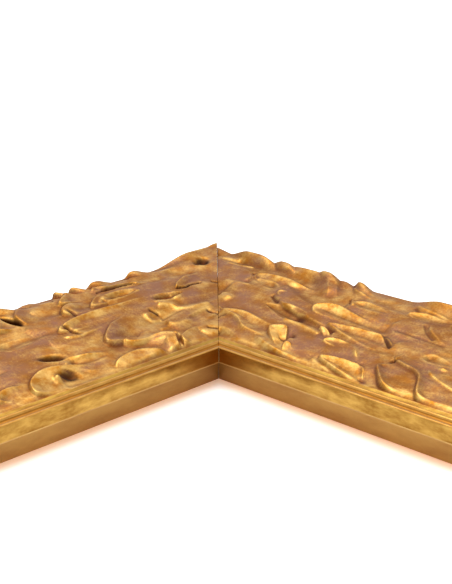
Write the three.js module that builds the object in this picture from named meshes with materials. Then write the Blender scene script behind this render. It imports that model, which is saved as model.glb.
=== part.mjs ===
// Mitred corner of a carved and gilded picture frame moulding, lying on its back.
// Two rails meet at a mitre. Each one is a single length of wood, cut square at its far end.
// Millimetres, +Z up. The origin is under the middle of the corner, on the surface it lies on.
// The right rail runs along +X, the left rail along -Y, and the frame's opening is between them.

import * as THREE from 'three';

// Driving dimensions of the moulding
const SIGHT_LENGTH = 120; // each rail along its sight edge, from the inner corner to the square cut
const FACE_WIDTH = 72; // from the sight edge to the outer side
const SIGHT_HEIGHT = 17; // top of the sight edge above the back
const OUTER_HEIGHT = 33; // nominal top of the outer side above the back
const RABBET_WIDTH = 5; // how far the lip covers the glass and the picture
const RABBET_HEIGHT = 9.6; // room under the lip for the glass, the picture and its backing
const MITRE_GAP = 0.3; // glue joint between the two rails

// Plain mouldings beside the sight edge
const LIP_ROUND = 1; // rounded lower edge of the lip
const ARRIS_WIDTH = 1.2; // flat on top of the sight edge
const QUIRK_WIDTH = 2.4; // narrow sunk channel behind it
const QUIRK_DEPTH = 1.1;
const BEAD_WIDTH = 1; // second thin edge
const COVE_WIDTH = 4.4; // plain hollow between the second edge and the carving
const COVE_DEPTH = 1.3;
const SLOPE_SHARE = 0.15; // part of the quirk's width taken by each of its sides
const COVE_LEAN = 0.8; // under 1 moves the cove's deepest line towards the sight edge

// Carving
const DRAWING_WIDTH = 72; // the carving below is drawn for a face this wide, and scales with the real one
const REPEAT = 200; // the drawing starts again after this length
const GROUND = -1.6; // background, below the nominal face
const WAVE = 0.6; // slow rise and fall of the background
const LONG_WAVE = [9, 13]; // how slowly it changes along and across, in two crossing patterns
const CROSS_WAVE = [23, 8];
const BLEND = 0.6; // softness where a leaf runs into what it lies on
const CARVED_ROWS = 28; // steps across the carved face
const CARVED_STATIONS = 70; // steps along it
const ROUND_STEPS = 3; // steps in the lip's rounded edge
const COVE_STEPS = 4;

// A leaf rises at its tip and sinks into the background at its tail.
// Points are [along, across]: from the mitre at the sight edge, and from the sight edge outwards.
const LEAF = {
  bend: 0, // sideways bow of its middle line, at half its length
  width: 5, // half-width
  lift: 0.3, // height of the tip over the nominal face
  sink: -3.5, // height of the tail
  fade: 1.6, // how late the leaf starts to sink
  dish: 0.3, // hollow along its middle
  lean: 0, // extra height of its outer edge
  nose: 0.3, // share of the length in which the tip widens
  taper: 0.3, // share of the width lost towards the tail
  front: 1, // steepness of the edge towards the sight side
  back: 1.2, // steepness of the edge towards the outer side
};
const TIP_STEEPNESS = 3;
const TAIL_REACH = 1.3;
const LEAST_WIDTH = 0.2;

// A gouge cut is steep at its head and runs out at its tail.
const GOUGE = {
  bend: 0,
  width: 3,
  depth: 2,
  nose: 0.3,
  fade: 1,
  skew: 0.3, // deeper on its outer side
};
const GOUGE_CURVE = 1.8;
const GOUGE_START = 0.8;

// The outer edge is wavy, with a hump wherever a leaf runs over it.
const EDGE_REACH = 7; // how far in from the outer side the humps die out

// A hump is [start, start of its crest, end of its crest, end, height over the nominal face].
const LEFT_CARVING = {
  edgeLow: -3.3, // outer edge between the humps
  slant: 1.2, // how far the humps run along the rail for each step in from the outer edge
  humps: [
    [-120, -100, -70, -50, 2],
    [-120, -100, -52, -27, 1.2],
    [-24, -16, -14, -9, -0.7],
    [-4, 7, 9, 13, -0.7],
    [15, 20, 22, 24, -0.7],
    [23, 29, 30, 32, -0.7],
    [52, 60, 62, 66, -1],
    [78, 86, 88, 92, -1.2],
    [100, 110, 112, 118, -1],
  ],
  leaves: [
    { tip: [49, 44], tail: [-14, 46], width: 6.4, bend: 0.5, dish: 0, lean: 0.2, nose: 0.16, fade: 2.5, sink: -2 },
    { tip: [37, 29], tail: [-8, 40], width: 6.5, bend: 2, lift: 0.4, dish: -0.2, lean: 0.5, fade: 2.5, sink: -2 },
    { tip: [11, 64], tail: [-22, 64], width: 3, bend: -1, lift: 0.8, lean: 0.6, nose: 0.2, front: 1.6 },
    { tip: [-23, 51], tail: [-60, 60], width: 4.5, bend: 2.5, lift: 0.2, front: 1.6 },
    { tip: [37, 65], tail: [5, 72], width: 4, lift: 0.6, front: 1.5 },
    { tip: [60, 67], tail: [34, 70], width: 4, front: 1.5 },
    { tip: [66, 61], tail: [44, 60], width: 5, lift: 0.6, dish: 0.6, nose: 0.15, front: 1.5 },
    { tip: [38, 56.5], tail: [14, 57], width: 3.4, lift: 0.4, dish: -0.3, nose: 0.4, front: 1.6 },
    { tip: [87, 14], tail: [45, 16], width: 7.5, bend: 1.5, lift: 0.4, dish: 0, sink: -2 },
    { tip: [48, 12], tail: [18, 14], width: 4.5, bend: 1, lift: -0.3, dish: 0 },
    { tip: [6.5, 16], tail: [34, 13], width: 5, bend: 0.5, lift: 1.2, dish: -0.3, nose: 0.12 },
    { tip: [76, 35], tail: [30, 33], width: 6.5, bend: 1.5, lift: 0.1, dish: 0 },
    { tip: [84, 46], tail: [48, 50], width: 6.5, bend: 1, lift: 0.2, dish: 0 },
    { tip: [102, 28], tail: [66, 27], width: 6, bend: 1, lift: 0.2, dish: 0 },
    { tip: [-12, 60], tail: [-62, 66], width: 7, bend: 2, lift: 0.6, dish: 0, fade: 3, sink: -2 },
  ],
  gouges: [
    { head: [43, 46.5], tail: [6, 48.5], width: 3.3, depth: 2.2, bend: 1.2, nose: 0.2, skew: 0.5 },
    { head: [18, 55.5], tail: [-6, 55.5], width: 2.8, depth: 2.2 },
    { head: [10.5, 61.5], tail: [-12, 59.5], width: 2, depth: 3, bend: -0.6, nose: 0.2, fade: 0.4 },
    { head: [-7, 45], tail: [-32, 43.5], width: 2.6, depth: 2.6, bend: 0.8 },
    { head: [16, 32], tail: [-20, 34], width: 4.5, depth: 2.2, nose: 0.25 },
    { head: [-2, 25], tail: [-34, 31], width: 3.6, depth: 1.8 },
    { head: [35, 22.5], tail: [12, 24], width: 2.6, depth: 1.8 },
    { head: [45, 13.5], tail: [16, 14.5], width: 3.2, depth: 1.8, bend: 1 },
    { head: [64, 24], tail: [38, 19], width: 2.2, depth: 2, bend: 1 },
    { head: [79, 16.5], tail: [60, 16.5], width: 4.4, depth: 3, fade: 0.5 },
    { head: [82, 43], tail: [58, 45], width: 3.2, depth: 1.8 },
    { head: [70, 29.5], tail: [58, 28], width: 2.6, depth: 3.4, fade: 0.4 },
    { head: [-50, 67], tail: [-60, 66], width: 2.8, depth: 3.6, fade: 0.4 },
    { head: [66, 59], tail: [58, 58.5], width: 3.2, depth: 2.6, fade: 0.4 },
  ],
};

const RIGHT_CARVING = {
  edgeLow: -2.1,
  slant: -1.2,
  humps: [
    [-120, -100, -74, -58, -0.3],
    [-58, -50, -42, -30, 2],
    [-34, -28, -26, -14, 1.3],
    [-22, -12, -8, 2, 0.7],
    [-10, -2, 0, 11, 1.7],
    [2, 9, 10, 16, -0.8],
    [14, 18, 19, 27, 0.7],
    [46, 62, 68, 82, 1.1],
    [84, 94, 98, 104, -0.5],
    [106, 112, 116, 124, 0.5],
  ],
  leaves: [
    { tip: [12, 48], tail: [66, 43], width: 4.6, bend: 0.5, lift: 0.9, dish: -0.2, nose: 0.16, fade: 1, sink: -2.2 },
    { tip: [27.5, 37.5], tail: [68, 35], width: 4.4, bend: -0.5, dish: 0.9, nose: 0.8, taper: 0, sink: -1.2, fade: 3 },
    { tip: [-23, 25.5], tail: [16, 21], width: 4.6, bend: 1, lift: 0.2, dish: 0.9, nose: 0.8, taper: 0, sink: -1.6 },
    { tip: [6, 22], tail: [28, 12], width: 4.5, bend: 1, lift: 0.8, dish: -0.4, sink: -3 },
    { tip: [-2, 41.5], tail: [40, 42], width: 3.6, bend: -1, lift: -0.1, nose: 0.4, front: 1.5 },
    { tip: [-45, 45], tail: [6, 44], width: 4.4, bend: 1.5, lift: 0, nose: 0.5 },
    { tip: [-32, 59], tail: [4, 61], width: 4, bend: 0.5, lift: 0.1, dish: 0 },
    { tip: [-62, 65], tail: [-36, 64], width: 3.6, lift: 0, dish: 0 },
    { tip: [-54, 70], tail: [-20, 74], width: 5, bend: 0.5, lift: 0.9, nose: 0.2 },
    { tip: [-29, 70.5], tail: [-4, 71], width: 4, bend: 0.5, lift: 1.2, nose: 0.2 },
    { tip: [-3, 71], tail: [18, 68], width: 4, bend: 0.5, lift: 1.3, nose: 0.2 },
    { tip: [17, 70], tail: [52, 68], width: 4.5, bend: 0.5, lift: 1, nose: 0.15 },
    { tip: [50, 69], tail: [96, 68], width: 5, bend: 0.5, lift: 1, nose: 0.2 },
    { tip: [53, 60.5], tail: [90, 60], width: 4.2, bend: 0.5, lift: 0.4, dish: 0 },
    { tip: [41, 16], tail: [72, 12], width: 5.2, bend: 0.8, lift: 0, nose: 0.5, taper: 0, sink: -1.5, fade: 3 },
    { tip: [67, 16], tail: [98, 16], width: 7, lift: 0.5, dish: 1, nose: 0.1, sink: -2 },
    { tip: [71, 29], tail: [100, 31], width: 4.5, lift: 0.5, dish: 0.6, nose: 0.25 },
    { tip: [87, 21], tail: [122, 16], width: 6.5, lift: 0.6, dish: 0.8, nose: 0.15 },
    { tip: [69, 50], tail: [104, 44], width: 5.5 },
  ],
  gouges: [
    { head: [17, 48.5], tail: [40, 46], width: 3, depth: 0.9, bend: 0.5 },
    { head: [-26, 59.8], tail: [-4, 60.5], width: 2.4, depth: 1.2, bend: 0.5 },
    { head: [57, 60.8], tail: [76, 60.8], width: 2.6, depth: 1.8 },
    { head: [-2, 37.5], tail: [22, 35.5], width: 3.2, depth: 2.6, nose: 0.25, skew: 0.5, fade: 0.3 },
    { head: [12, 11.5], tail: [36, 11], width: 1.8, depth: 1.2 },
    { head: [80, 35], tail: [92, 34], width: 2.2, depth: 1.2 },
  ],
};

const EASE = (x) => THREE.MathUtils.smoothstep(x, 0, 1);

// Place of a point beside a bowed line: share of the length passed, and distance to its outer side
function besideLine(along, across, from, to, bend) {
  const stepAlong = to[0] - from[0];
  const stepAcross = to[1] - from[1];
  const length = Math.hypot(stepAlong, stepAcross);
  const fromAlong = along - from[0];
  const fromAcross = across - from[1];
  const share = (fromAlong * stepAlong + fromAcross * stepAcross) / length ** 2;
  const held = THREE.MathUtils.clamp(share, 0, 1);
  const bow = bend * 4 * held * (1 - held);
  const side = (fromAcross * stepAlong - fromAlong * stepAcross) / length - bow;
  return { share, length, outward: stepAlong < 0 ? -side : side };
}

function roundNose(share, nose) {
  const left = 1 - THREE.MathUtils.clamp(share / nose, 0, 1);
  return Math.sqrt(1 - left ** 2);
}

function leafHeight(along, across, leaf) {
  const { share, length, outward } = besideLine(along, across, leaf.tip, leaf.tail, leaf.bend);
  const passed = THREE.MathUtils.clamp(share, 0, TAIL_REACH);
  const half = leaf.width * roundNose(share, leaf.nose) * (1 - leaf.taper * passed);
  const spread = THREE.MathUtils.clamp(outward / Math.max(half, LEAST_WIDTH), -1, 1);
  const hollow = leaf.dish * (1 - spread ** 2) * Math.max(1 - passed, 0);
  const top = leaf.lift + (leaf.sink - leaf.lift) * passed ** leaf.fade - hollow + leaf.lean * spread;
  const overBack = Math.max(outward - half, 0) * leaf.back;
  const overFront = Math.max(-outward - half, 0) * leaf.front;
  const overTip = Math.max(-share * length, 0) * TIP_STEEPNESS;
  return top - overBack - overFront - overTip;
}

function gougeDepth(along, across, gouge) {
  const { share, outward } = besideLine(along, across, gouge.head, gouge.tail, gouge.bend);
  const run = THREE.MathUtils.clamp((share - gouge.nose) / (1 - gouge.nose), 0, 1);
  const half = gouge.width * roundNose(share, gouge.nose) * (1 - run ** GOUGE_CURVE);
  const spread = THREE.MathUtils.clamp(outward / Math.max(half, LEAST_WIDTH), -1, 1);
  const start = EASE(share / (gouge.nose * GOUGE_START));
  const end = THREE.MathUtils.clamp(1 - share, 0, 1) ** gouge.fade;
  return gouge.depth * start * end * (1 - spread ** 2) * (1 + gouge.skew * spread);
}

// Highest of two surfaces, with a soft line where they meet
function softMax(a, b) {
  const share = THREE.MathUtils.clamp(0.5 + (a - b) / (2 * BLEND), 0, 1);
  return b + (a - b) * share + BLEND * share * (1 - share);
}

function background(along, across) {
  const runs = Math.sin(along / LONG_WAVE[0] + across / LONG_WAVE[1]);
  const crosses = Math.sin(across / CROSS_WAVE[1] - along / CROSS_WAVE[0]);
  return GROUND + WAVE * runs * crosses;
}

// Height of the wavy outer edge, whose humps slant as they run in over the face
function edgeHeight(carving, along, across) {
  const place = along + carving.slant * (DRAWING_WIDTH - across);
  const heights = carving.humps.map(([start, crestStart, crestEnd, end, height]) => {
    const rise = EASE((place - start) / (crestStart - start));
    const fall = EASE((end - place) / (end - crestEnd));
    return THREE.MathUtils.lerp(carving.edgeLow, height, Math.min(rise, fall));
  });
  return Math.max(...heights);
}

// Height of the carved surface over the nominal face, in the drawing's own units
function carvedHeight(carving, along, across) {
  const place = THREE.MathUtils.euclideanModulo(along + DRAWING_WIDTH, REPEAT) - DRAWING_WIDTH;
  const leaves = carving.leaves.map((leaf) => leafHeight(place, across, { ...LEAF, ...leaf }));
  const cuts = carving.gouges.map((gouge) => gougeDepth(place, across, { ...GOUGE, ...gouge }));
  const raised = leaves.reduce(softMax, background(place, across));
  const carved = cuts.reduce((height, cut) => height - cut, raised);
  const edgeShare = EASE((across - DRAWING_WIDTH + EDGE_REACH) / EDGE_REACH);
  return THREE.MathUtils.lerp(carved, edgeHeight(carving, place, across), edgeShare);
}

function nominalHeight(across) {
  return SIGHT_HEIGHT + ((OUTER_HEIGHT - SIGHT_HEIGHT) * across) / FACE_WIDTH;
}

// Plain part of the section, from the back of the rabbet round the lip to the start of the carving
function plainSection() {
  const points = [new THREE.Vector2(RABBET_WIDTH, 0), new THREE.Vector2(RABBET_WIDTH, RABBET_HEIGHT)];
  for (let i = 0; i <= ROUND_STEPS; i += 1) {
    const turn = (Math.PI / 2) * (i / ROUND_STEPS);
    const across = LIP_ROUND * (1 - Math.sin(turn));
    points.push(new THREE.Vector2(across, RABBET_HEIGHT + LIP_ROUND * (1 - Math.cos(turn))));
  }
  points.push(new THREE.Vector2(0, nominalHeight(0)));
  const side = QUIRK_WIDTH * SLOPE_SHARE;
  const quirkStart = ARRIS_WIDTH;
  const quirkEnd = quirkStart + QUIRK_WIDTH;
  const beadEnd = quirkEnd + BEAD_WIDTH;
  points.push(new THREE.Vector2(quirkStart, nominalHeight(quirkStart)));
  points.push(new THREE.Vector2(quirkStart + side, nominalHeight(quirkStart + side) - QUIRK_DEPTH));
  points.push(new THREE.Vector2(quirkEnd - side, nominalHeight(quirkEnd - side) - QUIRK_DEPTH));
  points.push(new THREE.Vector2(quirkEnd, nominalHeight(quirkEnd)));
  points.push(new THREE.Vector2(beadEnd, nominalHeight(beadEnd)));
  for (let i = 1; i <= COVE_STEPS; i += 1) {
    const share = i / COVE_STEPS;
    const across = beadEnd + COVE_WIDTH * share;
    const drop = COVE_DEPTH * Math.sin(Math.PI * share ** COVE_LEAN);
    const ground = -GROUND * drawingScale() * share;
    points.push(new THREE.Vector2(across, nominalHeight(across) - Math.max(drop, 0) - ground));
  }
  return points;
}

function drawingScale() {
  return FACE_WIDTH / DRAWING_WIDTH;
}

// Triangles over a flat outline, given by its points in the outline's own plane
function flatFace(outline, numbers) {
  return THREE.ShapeUtils.triangulateShape(outline, []).map((face) => face.map((corner) => numbers[corner]));
}

// One rail. Its length runs from the mitre to the square cut, and hand is 1 or -1 for the way it runs.
function railGeometry(carving, hand) {
  const plain = plainSection();
  const carvedStart = plain[plain.length - 1].x;
  const start = (across) => MITRE_GAP * Math.SQRT1_2 - across;
  const positions = [];
  const addPoint = (along, across, height) => positions.push(hand * along, across, height) / 3 - 1;

  // Straight lines of the plain mouldings, each with a point at the mitre and a point at the cut
  const straight = plain.slice(0, -1).map((point) => ({
    section: point,
    mitre: addPoint(start(point.x), point.x, point.y),
    cut: addPoint(SIGHT_LENGTH, point.x, point.y),
  }));

  // Grid of the carved face
  const rows = [];
  for (let row = 0; row <= CARVED_ROWS; row += 1) {
    const across = carvedStart + ((FACE_WIDTH - carvedStart) * row) / CARVED_ROWS;
    const stations = [];
    for (let station = 0; station <= CARVED_STATIONS; station += 1) {
      const along = THREE.MathUtils.lerp(start(across), SIGHT_LENGTH, station / CARVED_STATIONS);
      const scale = drawingScale();
      const relief = row === 0 ? GROUND : carvedHeight(carving, along / scale, across / scale);
      const height = nominalHeight(across) + relief * scale;
      stations.push({ along, across, height, number: addPoint(along, across, height) });
    }
    rows.push(stations);
  }
  const outerBack = {
    section: new THREE.Vector2(FACE_WIDTH, 0),
    mitre: addPoint(start(FACE_WIDTH), FACE_WIDTH, 0),
    cut: addPoint(SIGHT_LENGTH, FACE_WIDTH, 0),
  };

  const faces = [];
  const addQuad = (a, b, c, d) => faces.push([a, b, c], [a, c, d]);
  for (let i = 1; i < straight.length; i += 1) {
    addQuad(straight[i - 1].mitre, straight[i - 1].cut, straight[i].cut, straight[i].mitre);
  }
  for (let row = 1; row < rows.length; row += 1) {
    for (let station = 1; station <= CARVED_STATIONS; station += 1) {
      const near = rows[row - 1];
      const far = rows[row];
      addQuad(near[station - 1].number, near[station].number, far[station].number, far[station - 1].number);
    }
  }
  addQuad(outerBack.mitre, outerBack.cut, straight[0].cut, straight[0].mitre);

  // Last strip of the cove, between its straight line and the first carved row
  const coveLine = straight[straight.length - 1];
  const firstRow = rows[0];
  const stripOutline = [
    new THREE.Vector2(start(coveLine.section.x), coveLine.section.x),
    new THREE.Vector2(SIGHT_LENGTH, coveLine.section.x),
    ...firstRow.map((point) => new THREE.Vector2(point.along, point.across)).reverse(),
  ];
  const stripNumbers = [coveLine.mitre, coveLine.cut, ...firstRow.map((point) => point.number).reverse()];
  faces.push(...flatFace(stripOutline, stripNumbers));

  // Outer side, from the back up to the carved edge
  const lastRow = rows[rows.length - 1];
  const sideOutline = [
    new THREE.Vector2(start(FACE_WIDTH), 0),
    new THREE.Vector2(SIGHT_LENGTH, 0),
    ...lastRow.map((point) => new THREE.Vector2(point.along, point.height)).reverse(),
  ];
  const sideNumbers = [outerBack.mitre, outerBack.cut, ...lastRow.map((point) => point.number).reverse()];
  faces.push(...flatFace(sideOutline, sideNumbers).map(([a, b, c]) => [a, c, b]));

  // Mitre face and square cut, both across the whole section
  const endOutline = (station) => [
    ...straight.map((line) => line.section),
    ...rows.map((stations) => new THREE.Vector2(stations[station].across, stations[station].height)),
    outerBack.section,
  ];
  const endNumbers = (end, station) => [
    ...straight.map((line) => line[end]),
    ...rows.map((stations) => stations[station].number),
    outerBack[end],
  ];
  const mitreFaces = flatFace(endOutline(0), endNumbers('mitre', 0));
  faces.push(...mitreFaces.map(([a, b, c]) => [a, c, b]));
  faces.push(...flatFace(endOutline(CARVED_STATIONS), endNumbers('cut', CARVED_STATIONS)));

  const geometry = new THREE.BufferGeometry();
  geometry.setAttribute('position', new THREE.Float32BufferAttribute(positions, 3));
  geometry.setIndex(faces.flatMap(([a, b, c]) => (hand > 0 ? [a, b, c] : [a, c, b])));
  geometry.computeVertexNormals();
  return geometry;
}

function gildedWood(color) {
  return new THREE.MeshStandardMaterial({ color, metalness: 0.7, roughness: 0.4, flatShading: true });
}

const sightCorner = new THREE.Vector3((FACE_WIDTH - SIGHT_LENGTH) / 2, (SIGHT_LENGTH - FACE_WIDTH) / 2, 0);

const railRight = new THREE.Mesh(railGeometry(RIGHT_CARVING, 1), gildedWood('#c08a3e'));
railRight.name = 'rail_right';
railRight.position.copy(sightCorner);

const railLeft = new THREE.Mesh(railGeometry(LEFT_CARVING, -1), gildedWood('#b9853c'));
railLeft.name = 'rail_left';
railLeft.position.copy(sightCorner);
railLeft.rotation.z = Math.PI / 2;

const group = new THREE.Group();
group.add(railRight, railLeft);
export default group;
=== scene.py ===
# Mitred corner of a carved and gilded picture frame moulding, lying on its back.
# Sizes are in millimetres up to the point where a mesh, lamp or camera is made, and in metres there.

from math import cos, pi, radians, sin, sqrt

import bpy
import numpy as np
from mathutils import Matrix, Vector


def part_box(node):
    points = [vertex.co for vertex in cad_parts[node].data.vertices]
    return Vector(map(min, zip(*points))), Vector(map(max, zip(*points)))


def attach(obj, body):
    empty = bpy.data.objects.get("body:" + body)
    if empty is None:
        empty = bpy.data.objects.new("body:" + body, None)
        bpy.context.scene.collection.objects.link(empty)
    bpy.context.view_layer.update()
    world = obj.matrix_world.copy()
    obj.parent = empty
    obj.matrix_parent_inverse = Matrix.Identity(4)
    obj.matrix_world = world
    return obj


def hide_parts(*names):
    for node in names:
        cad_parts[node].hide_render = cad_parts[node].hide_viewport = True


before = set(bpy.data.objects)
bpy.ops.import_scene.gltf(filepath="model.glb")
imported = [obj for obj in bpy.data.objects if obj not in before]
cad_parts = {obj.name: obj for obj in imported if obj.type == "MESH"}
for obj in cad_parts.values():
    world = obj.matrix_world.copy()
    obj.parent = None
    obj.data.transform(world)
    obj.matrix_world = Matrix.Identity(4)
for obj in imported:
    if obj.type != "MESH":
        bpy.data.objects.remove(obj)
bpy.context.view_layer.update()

MM = 0.001

# Sizes of the moulding, from the frame
left_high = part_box("rail_left")[1] / MM
right_low, right_high = (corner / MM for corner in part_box("rail_right"))
SIGHT_CORNER = Vector((left_high.x, right_low.y, 0))
FACE_WIDTH = right_high.y - right_low.y
SIGHT_LENGTH = right_high.x - SIGHT_CORNER.x
LEFT_TOP = left_high.z
RIGHT_TOP = right_high.z

# Section
SIGHT_HEIGHT = 17
OUTER_HEIGHT = 33
RABBET_WIDTH = 5
RABBET_HEIGHT = 9.6
MITRE_GAP = 0.3
SEAM = 0.05  # what shows of the joint once it is glued and filled
LIP_ROUND = 1
ARRIS_WIDTH = 1.2
ARRIS_SOFTNESS = 0.35  # rounding of the sight edge's top under the gesso
QUIRK_WIDTH = 2.4
QUIRK_DEPTH = 1.1
QUIRK_SQUARENESS = 5  # how upright the channel's sides are
BEAD_WIDTH = 1
COVE_WIDTH = 4.4
COVE_DEPTH = 1.3
COVE_LEAN = 0.8

# Fineness of the mesh
STATIONS = 530
CARVED_ROWS = 140
ROUND_STEPS = 6
BAND_STEPS = 3
QUIRK_STEPS = 16
COVE_STEPS = 12
SIDE_STEPS = (0.6, 0.2, 0)  # heights of the points down the outer side, as shares of its top

# Carving, drawn for a face this wide
DRAWING_WIDTH = 72
SCALE = FACE_WIDTH / DRAWING_WIDTH
GROUND = -2  # background, below the nominal face
WAVE = 0.7
LONG_WAVE = (9, 13)
CROSS_WAVE = (23, 8)
BLEND = 0.8  # softness where one leaf runs into another
ENTRY_WIDTH = 2.5  # the carving fades in over this width beside the hollow
RIPPLE = 0.07
FINE_RIPPLE = 0.4  # share of the ripples
RIPPLE_HEADING = radians(18)
BORDER = 10.6  # the clean gold of the hollow runs this far on to the carving
BORDER_WAVE = 1.2
BORDER_WAVE_LENGTHS = (4.3, 2.7)
BORDER_FADE = 2
EDGE_REACH = 5.5  # how far in from the outer side the humps die out

# Tones run from 0, where toning lies, to 1, where clean gold shows
START_TONE = 0.5
PLAIN_TONE = 0.8  # beside the carving
BORDER_TONE = 0.85
EDGE_TONE = 0.15  # the outer edge stays toned
CUT_TONE = 0.15
TONE_SPREAD = 1.6  # how far a mark's own tone reaches past its deepest part
WASH_SHARE = 0.8
WASH_SHARPNESS = 3
SHADE_AND_GRIME = {"cuts": 0, "rims": 0.8, "pits": 1}  # painted shade, with some dirt, that darkens each kind of mark, where none is stated
SHADE_AND_GRIME_DEPTH = 0.8  # a mark this deep gets all of the painted shade and dirt
LEAST_CHANGE = 0.1

# Camera, as far from the corner and turned as it was for the photograph
PHOTO_HEIGHT = 584
FOCAL_PIXELS = 1122
SENSOR = 36
CAMERA_RIGHT = -2.7
CAMERA_AWAY = -443.5
CAMERA_UP = 183.5
CAMERA_YAW = radians(0.75)
CAMERA_PITCH = radians(17.75)
CAMERA_ROLL = radians(-0.15)
IMAGE_RIGHT = Vector((1, 1, 0)) / sqrt(2)
IMAGE_AWAY = Vector((-1, 1, 0)) / sqrt(2)
UP = Vector((0, 0, 1))


def make_camera():
    place = SIGHT_CORNER + IMAGE_RIGHT * CAMERA_RIGHT + IMAGE_AWAY * CAMERA_AWAY + UP * CAMERA_UP
    level = IMAGE_RIGHT * sin(CAMERA_YAW) + IMAGE_AWAY * cos(CAMERA_YAW)
    forward = level * cos(CAMERA_PITCH) - UP * sin(CAMERA_PITCH)
    right = IMAGE_RIGHT * cos(CAMERA_YAW) - IMAGE_AWAY * sin(CAMERA_YAW)
    up = right.cross(forward)
    rolled_right = right * cos(CAMERA_ROLL) + up * sin(CAMERA_ROLL)
    rolled_up = up * cos(CAMERA_ROLL) - right * sin(CAMERA_ROLL)
    data = bpy.data.cameras.new("photo_camera")
    data.sensor_fit = "VERTICAL"
    data.sensor_height = SENSOR
    data.lens = FOCAL_PIXELS / PHOTO_HEIGHT * SENSOR
    data.clip_start = 0.01
    camera = bpy.data.objects.new("photo_camera", data)
    turn = Matrix((rolled_right, rolled_up, -forward)).transposed().to_4x4()
    camera.matrix_world = Matrix.Translation(place * MM) @ turn
    bpy.context.scene.collection.objects.link(camera)
    bpy.context.scene.camera = camera


make_camera()


# Relief. Places are read on the nominal face along the camera's line, and slide to their own height.
SLIDE_ALONG = 1.48
SLIDE_ACROSS = -1.5
CURVE_STEPS = 5
END_SHARE = 0.25  # part of a crest over which it drops to its end
NEAREST_BLEND = 0.1  # square millimetres, keeps the mean of crest heights smooth
PETAL_FOOT = 0.5  # extra fall beyond a petal's reach
PETAL_END = 0.8  # fall past the ends of its crest
RIM_END = 0.8  # width in which a rim dies out past its ends
PIT_FALL = 1.2
LEAF_TIP = 0.9  # steepness past a leaf's tip
LEAF_TAIL = 1.3  # a leaf goes on past its tail by this much of its length, and sinks
GOUGE_CURVE = 1.8  # how late a gouge narrows towards its tail
GOUGE_START = 0.8
BURR_WIDTH = 0.9  # gesso pushed up beside a cut
LEAST_WIDTH = 0.2


def ease(x):
    x = np.clip(x, 0, 1)
    return x * x * (3 - 2 * x)


def slid(place, level):
    """A place read on the nominal face, for something that lies level above it."""
    return place[0] + SLIDE_ALONG * level, place[1] + SLIDE_ACROSS * level


def smooth_curve(points):
    """Points (along, across, height) of a curve through the given ones, slid to their heights."""
    given = np.array([(*slid(p, p[2]), p[2]) for p in points])
    before = np.vstack([2 * given[0] - given[1], given, 2 * given[-1] - given[-2]])
    curve = []
    for k in range(len(given) - 1):
        a, b, c, d = before[k:k + 4]
        for step in range(CURVE_STEPS):
            t = step / CURVE_STEPS
            curve.append(0.5 * (2 * b + (c - a) * t + (2 * a - 5 * b + 4 * c - d) * t ** 2
                                + (3 * b - a - 3 * c + d) * t ** 3))
    curve.append(given[-1])
    return np.array(curve)


def beside_curve(along, across, points, drop=0):
    """Signed distance to a curve (left of travel is positive), its height there, and how far past its ends.

    The height is a mean weighted to the nearest parts, so that it changes smoothly where two sides meet, and
    it falls by drop towards both ends.
    """
    curve = smooth_curve(points)
    shares = np.linspace(0, 1, len(curve))
    curve[:, 2] -= drop * (2 - ease(shares / END_SHARE) - ease((1 - shares) / END_SHARE))
    nearest = np.full(along.shape, 1e9)
    side = np.zeros(along.shape)
    past = np.zeros(along.shape)
    crest = np.zeros(along.shape)
    weights = np.zeros(along.shape)
    last = len(curve) - 2
    for k in range(last + 1):
        a = curve[k]
        step = curve[k + 1] - a
        length = max(sqrt(step[0] ** 2 + step[1] ** 2), 1e-6)
        share = ((along - a[0]) * step[0] + (across - a[1]) * step[1]) / length ** 2
        held = np.clip(share, 0, 1)
        away = np.hypot(along - a[0] - step[0] * held, across - a[1] - step[1] * held)
        turn = ((across - a[1]) * step[0] - (along - a[0]) * step[1]) / length
        over = np.zeros(along.shape)
        if k == 0:
            over = over + np.maximum(-share, 0) * length
        if k == last:
            over = over + np.maximum(share - 1, 0) * length
        signed = np.where(over > 0, turn, np.where(turn >= 0, away, -away))
        closer = away < nearest
        nearest = np.where(closer, away, nearest)
        side = np.where(closer, signed, side)
        past = np.where(closer, over, past)
        weight = length / (away ** 2 + NEAREST_BLEND) ** 2
        weights = weights + weight
        crest = crest + weight * (a[2] + step[2] * held)
    return side, crest / weights, past


def petal(along, across, line, inside, wall=2, dip=0.8, rim=1.8, slope=0.12, reach=6, drop=1.6):
    """Height of a leaf with a crisp crest line: it dips behind the crest and falls steeply outside."""
    side, crest, past = beside_curve(along, across, line, drop)
    side = side * inside
    into = np.maximum(side, 0)
    outside = np.maximum(-side, 0)
    dipped = crest - dip * (1 - np.exp(-(into / rim) ** 1.5))
    body = dipped - slope * into - PETAL_FOOT * np.maximum(into - reach, 0)
    return np.where(side >= 0, body, crest - wall * outside) - PETAL_END * past


def rim_line(along, across, line, height=0.8, left=0.8, right=0.8):
    """A raised or, below zero, cut line that dies out at its ends."""
    side, crest, past = beside_curve(along, across, line)
    width = np.where(side > 0, left, right)
    return height * np.exp(-np.abs(side / width) ** 1.5 - (past / RIM_END) ** 2)


def pit(along, across, at, long, wide, heading=0, depth=3, sharp=2.5, level=-1):
    """Change of height by an oval hole or, with depth below zero, an oval knob."""
    turn = radians(heading)
    at = slid(at, level)
    run = (along - at[0]) * cos(turn) + (across - at[1]) * sin(turn)
    cross = (across - at[1]) * cos(turn) - (along - at[0]) * sin(turn)
    reach = np.sqrt((run / long) ** 2 + (cross / wide) ** 2)
    return -depth * np.exp(-PIT_FALL * reach ** sharp)


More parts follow.
